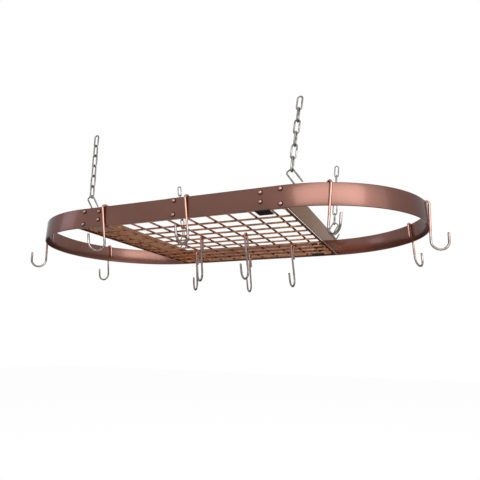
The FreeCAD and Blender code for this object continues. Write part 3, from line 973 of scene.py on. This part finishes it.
@dataclass
class PotHooks:
    """Twelve loose hooks of one form: seven over the band, five on the grid.

    over_band holds name, side, x in mm, turn and sideways lean, and on_grid name, long wire, x in mm
    and turn, with the angles in degrees.
    """

    band: OvalBand
    grid: WireGrid
    wire: float = 5.5 * MM
    height: float = 123.0 * MM
    bend: float = 7.25 * MM
    lip: float = 35.0 * MM
    curve: float = 19.5 * MM
    rise: float = 22.0 * MM
    play: float = 0.35 * MM
    tip: float = 1.8 * MM
    over_band: tuple[tuple[str, int, float, float, float], ...] = (
        ("left_end", -1, -508.6, 23, -5), ("near_left", -1, -197.0, -30, 9),
        ("far_left", 1, -515.9, 28, -6), ("near_middle", -1, 35.0, -13, 6),
        ("near_right", -1, 361.2, 28, -6), ("far_right", 1, 502.7, 28, -6),
        ("right_end", -1, 546.7, 19, -5))
    on_grid: tuple[tuple[str, int, float, float], ...] = (
        ("centre_left", 3, -33.2, 8), ("rear_left", 7, -149.7, 12), ("centre_right", 3, 98.1, -5),
        ("rear_middle", 9, -3.4, 3), ("rear_right", 7, 169.5, -5))

    @property
    def low(self) -> float:
        """Height of the wide curve's centre against the small bend's."""
        return -(self.height - self.bend - self.wire - self.curve)

    def form(self) -> bpy.types.Mesh:
        """Models the hook in the XZ plane about its small bend's centre.

        Returns:
            The bent wire with rounded tips.
        """
        side = Vector((0, 1, 0))
        wire = WireBender(self.wire, Vector((-self.bend, 0, self.tip - self.lip)), Vector((0, 0, 1)), 24)
        wire.straight(self.lip - self.tip, 4).bend(Vector(), side, math.pi, 20)
        wire.straight(-self.low, 6).bend(Vector((self.bend + self.curve, 0, self.low)), side, -math.pi, 32)
        wire.straight(self.rise - self.tip, 2)
        return wire.close_tips(self.tip).mesh("pot_hook")

    def swing(self) -> float:
        """The tilt in degrees at which a free hook hangs, from the middle of its wire's length.

        Returns:
            The tilt.
        """
        runs = ((self.lip, -self.bend, -self.lip / 2), (math.pi * self.bend, 0.0, 2 * self.bend / math.pi),
                (-self.low, self.bend, self.low / 2),
                (math.pi * self.curve, self.bend + self.curve, self.low - 2 * self.curve / math.pi),
                (self.rise, self.bend + 2 * self.curve, self.low + self.rise / 2))
        across = sum(length * x for length, x, _ in runs)
        down = -sum(length * z for length, _, z in runs)
        return math.degrees(math.atan2(across, down))

    def seat(self, turn: float) -> tuple[float, float]:
        """How a hook turned off square sits over the band.

        Args:
            turn: Degrees off square.

        Returns:
            The bend centre's drop below the band's edge, and the tilt in degrees.
        """
        skew = math.radians(turn)
        inside, spread = self.bend - self.wire / 2, self.band.thick / 2 / math.cos(skew)
        beside = (spread * math.tan(skew)) ** 2 / (2 * inside / self.wire - math.tan(skew) ** 2)
        drop = math.sqrt(inside ** 2 - spread ** 2 - beside) - self.play
        gap = self.bend * math.cos(skew) - (self.wire + self.band.thick) / 2 - self.play
        return drop, math.degrees(math.atan2(gap, self.band.height - drop))

    def build(self, finish: bpy.types.Material) -> None:
        """Builds the twelve hooks.

        Args:
            finish: The hooks' steel.
        """
        form, places = self.form(), []
        for name, side, x, turn, sideways in self.over_band:
            y, outward = self.band.edge(side, x * MM, self.band.thick / 2)
            drop, tilt = self.seat(turn)
            at = Matrix.Translation(Vector((x * MM, y, self.band.top - drop)))
            lean = turned(sideways, "X") @ turned(tilt, "Y")
            places.append((name, at @ turned(outward) @ lean @ turned(turn)))
        z = self.grid.long_z + self.grid.wire / 2 + self.play - (self.bend - self.wire / 2)
        for name, number, x, turn in self.on_grid:
            at = Matrix.Translation(Vector((x * MM, self.grid.long_y(number), z)))
            places.append((name, at @ turned(turn - 90) @ turned(self.swing(), "Y")))
        for name, place in places:
            node, hook = "pot_hook_" + name, gathered("pot_hook", [(form, place)])
            show(hook, "hook_wire_" + name, node, node, finish)


@dataclass(frozen=True)
class Lamp:
    """A soft rectangular lamp."""

    name: str
    place: Vector
    aim: Vector
    size: tuple[float, float]
    power: float
    colour: Colour = (1.0, 1.0, 1.0)


@dataclass
class Studio:
    """Floor, lamps, world and the camera of the photograph, whose place is in mm from the band's top edge.

    Lamps and floor are in metres, the camera's angles in radians.
    """

    top: float
    camera_place: tuple[float, float, float] = (521.1, -1141.3, -317.1)
    yaw: float = -0.38897
    pitch: float = 0.29129
    roll: float = 0.01162
    focal_pixels: float = 442.29
    picture: int = 480
    shift: tuple[float, float] = (-0.00237, -0.0680)
    sensor: float = 36.0
    clip: tuple[float, float] = (0.02, 60.0)
    daylight: float = 0.62
    floor_drop: float = 1.25
    floor_half: float = 12.0
    floor_glow: float = 1.08
    floor_glow_share: float = 0.8
    lamps: tuple[Lamp, ...] = field(default_factory=lambda: (
        Lamp("soft_front", Vector((1.55, -2.45, 0.62)), Vector((0.35, -0.27, -0.26)), (3.5, 1.4), 62.0),
        Lamp("soft_wide", Vector((3.00, -1.70, 0.30)), Vector((0.50, -0.20, -0.26)), (3.0, 2.4), 26.0),
        Lamp("soft_left", Vector((-2.35, -1.25, 0.35)), Vector((-0.20, 0.0, -0.26)), (0.9, 0.9), 4.5,
             (0.62, 0.72, 1.0)),
        Lamp("soft_above", Vector((0.4, 0.2, 2.2)), Vector((0.0, 0.0, -0.25)), (2.2, 2.2), 22.0)))

    def camera(self) -> None:
        """Sets the camera where the photograph was taken from."""
        flat = math.cos(self.pitch)
        forward = Vector((math.sin(self.yaw) * flat, math.cos(self.yaw) * flat, math.sin(self.pitch)))
        right = Vector((math.cos(self.yaw), -math.sin(self.yaw), 0.0))
        up = right.cross(forward)
        level, lean = math.cos(self.roll), math.sin(self.roll)
        across, above = level * right + lean * up, level * up - lean * right
        turn = Matrix((across, above, -forward)).transposed().to_4x4()
        data = bpy.data.cameras.new("camera")
        data.sensor_width = self.sensor
        data.lens = self.focal_pixels / self.picture * self.sensor
        data.shift_x, data.shift_y = self.shift
        data.clip_start, data.clip_end = self.clip
        camera = bpy.data.objects.new("camera", data)
        bpy.context.scene.collection.objects.link(camera)
        place = Vector(self.camera_place) * MM + Vector((0, 0, self.top))
        camera.matrix_world = Matrix.Translation(place) @ turn
        bpy.context.scene.camera = camera

    def light(self) -> None:
        """Hangs the soft lamps and sets the white surround."""
        for lamp in self.lamps:
            data = bpy.data.lights.new(lamp.name, "AREA")
            data.shape, data.energy, data.color = "RECTANGLE", lamp.power, lamp.colour
            data.size, data.size_y = lamp.size
            hung = bpy.data.objects.new(lamp.name, data)
            bpy.context.scene.collection.objects.link(hung)
            turn = (lamp.aim - lamp.place).to_track_quat("-Z", "Y").to_matrix().to_4x4()
            hung.matrix_world = Matrix.Translation(lamp.place) @ turn
        world = bpy.data.worlds.new("surround")
        bpy.context.scene.world = world
        tree = NodeTree(world)
        strength = self.daylight + (1.0 - self.daylight) * tree.looked_at()
        tree.finish(tree.add("ShaderNodeBackground", inputs={"Color": (1, 1, 1, 1), "Strength": strength}),
                    "ShaderNodeOutputWorld")

    def floor(self) -> None:
        """Lays a wide pale floor well under the rack."""
        bm = bmesh.new()
        bmesh.ops.create_grid(bm, x_segments=8, y_segments=8, size=self.floor_half)
        bmesh.ops.translate(bm, verts=bm.verts, vec=Vector((0, 0, self.top - self.floor_drop)))
        mesh = bpy.data.meshes.new("floor")
        bm.to_mesh(mesh)
        bm.free()
        floor = bpy.data.objects.new("floor", mesh)
        bpy.context.scene.collection.objects.link(floor)
        material = bpy.data.materials.new("pale_floor")
        tree = NodeTree(material)
        pale = tree.mix(tree.noise(0.4), (0.93, 0.93, 0.93), (0.96, 0.96, 0.96))
        matt = tree.add("ShaderNodeBsdfDiffuse", inputs={"Color": pale})
        glow = tree.add("ShaderNodeEmission", inputs={"Color": (1, 1, 1, 1), "Strength": self.floor_glow})
        share = tree.looked_at() * self.floor_glow_share
        tree.finish(tree.add("ShaderNodeMixShader", inputs={0: share, 1: matt, 2: glow}))
        mesh.materials.append(material)

    def build(self) -> None:
        """Sets up the whole studio and the view transform."""
        self.camera()
        self.light()
        self.floor()
        bpy.context.scene.view_settings.view_transform = "Standard"


@dataclass
class PotRack:
    """The whole rack and its finishes."""

    top: float

    def __post_init__(self) -> None:
        """Sets out the two sub-assemblies that others are placed by."""
        self.band = OvalBand(self.top)
        self.grid = WireGrid(self.top)
        self.low = self.top - self.band.height

    def band_lacquer(self) -> bpy.types.Material:
        """Satin copper brown with painted shade along its edges, for the band."""
        # The third colour is painted shade along the band's top and bottom edges.
        return Lacquer("copper_lacquer", (0.158, 0.069, 0.051), (0.128, 0.053, 0.038), (0.045, 0.020, 0.014),
                       rough=0.27, coat=0.45, edge_low=self.low, edge_high=self.top).build()

    def lit_bar_lacquer(self) -> bpy.types.Material:
        """The same lacquer made lighter as painted light, and glossier, with painted shade along the edges,
        for the crossbars.
        """
        # Painted light: the tone is lighter than the band's, and the third colour is painted shade on the
        # edges.
        return Lacquer("crossbar_lacquer_lit", (0.250, 0.120, 0.070), (0.190, 0.088, 0.050),
                       (0.060, 0.030, 0.018), rough=0.12, coat=0.2, rim_tint=(0.42, 0.36, 0.30),
                       edge_low=self.low, edge_high=self.top).build()

    def rivet_lacquer_lit_and_shaded(self) -> bpy.types.Material:
        """Glossy domes lighter than the band as painted light, with painted shade on their rims, for the
        rivets.
        """
        # Painted light and shade: the tone is lighter than the band's so the domes shine, and the third
        # colour shades their rims.
        return Lacquer("rivet_lacquer_lit_and_shaded", (0.440, 0.250, 0.210), (0.300, 0.160, 0.130), (0.040, 0.018, 0.014),
                       rough=0.06, coat=0.2, dome_rim_shade=True).build()

    def shaded_bracket_lacquer(self) -> bpy.types.Material:
        """Dark brown as painted shade, for the brackets that the photograph shows dark."""
        # Painted shade: these brackets are made dark brown where the identical left ones are light.
        return Lacquer("shaded_bracket_lacquer", (0.062, 0.032, 0.022), (0.036, 0.019, 0.013), (0.05, 0.03, 0.02),
                       rough=0.34, coat=0.0, metal=0.95).build()

    def grid_lacquer(self) -> bpy.types.Material:
        """Copper wire, for the grid."""
        return WireSteel("grid_lacquer", (0.400, 0.205, 0.125), (0.200, 0.098, 0.060), rough=0.2,
                         rim_tint=(0.12, 0.07, 0.05), relief=0.2).build()

    def chain_steel(self) -> bpy.types.Material:
        """Grey steel, for chains and S-hooks."""
        return WireSteel("chain_steel", (0.300, 0.285, 0.275), (0.130, 0.122, 0.116), rough=0.2,
                         rim_tint=(0.25, 0.25, 0.25), relief=0.3).build()

    def hook_steel(self) -> bpy.types.Material:
        """Polished grey steel with a painted copper reflection of the band beside the rack, for the pot
        hooks.
        """
        # Painted reflection: the copper tone near the rack stands for the band mirrored in the polished
        # hooks.
        return WireSteel("hook_steel", (0.290, 0.250, 0.235), (0.130, 0.105, 0.095), rough=0.10,
                         rim_tint=(0.16, 0.14, 0.13), relief=0.1, grime=0.1, band_reflection=(0.360, 0.190, 0.150),
                         band_reflection_low=self.low - 42 * MM, band_reflection_high=self.low - 2 * MM).build()

    def dress_flat_pieces(self) -> None:
        """Gives the crossbars and brackets their finishes; the left brackets look like the crossbars, whose
        lacquer is lightened as painted light, and the right ones are dark as painted shade.
        """
        bars, brackets = self.lit_bar_lacquer(), self.shaded_bracket_lacquer()
        plan = {"crossbar_left": bars, "crossbar_right": bars}
        # Painted light and shade: identical brackets get the lightened crossbar lacquer on the left and the
        # dark one on the right.
        plan.update({"grid_bracket_" + corner: bars if corner.endswith("left") else brackets
                     for corner, _, _ in CORNERS})
        for node, material in plan.items():
            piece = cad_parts[node]
            piece.data.materials.clear()
            piece.data.materials.append(material)
            LOG.info("%s: finished", node)

    def build(self) -> None:
        """Builds every sub-assembly in order."""
        self.band.build(self.band_lacquer(), self.rivet_lacquer_lit_and_shaded())
        self.dress_flat_pieces()
        self.grid.build(self.grid_lacquer())
        Hanging(self.top).build(self.chain_steel())
        PotHooks(self.band, self.grid).build(self.hook_steel())


def main() -> None:
    """Builds the rack and its studio."""
    logging.basicConfig(level=logging.INFO, format="%(name)s: %(message)s")
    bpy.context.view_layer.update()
    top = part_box("band")[1].z
    PotRack(top).build()
    Studio(top).build()
    bpy.context.view_layer.update()


if __name__ == "__main__":
    main()
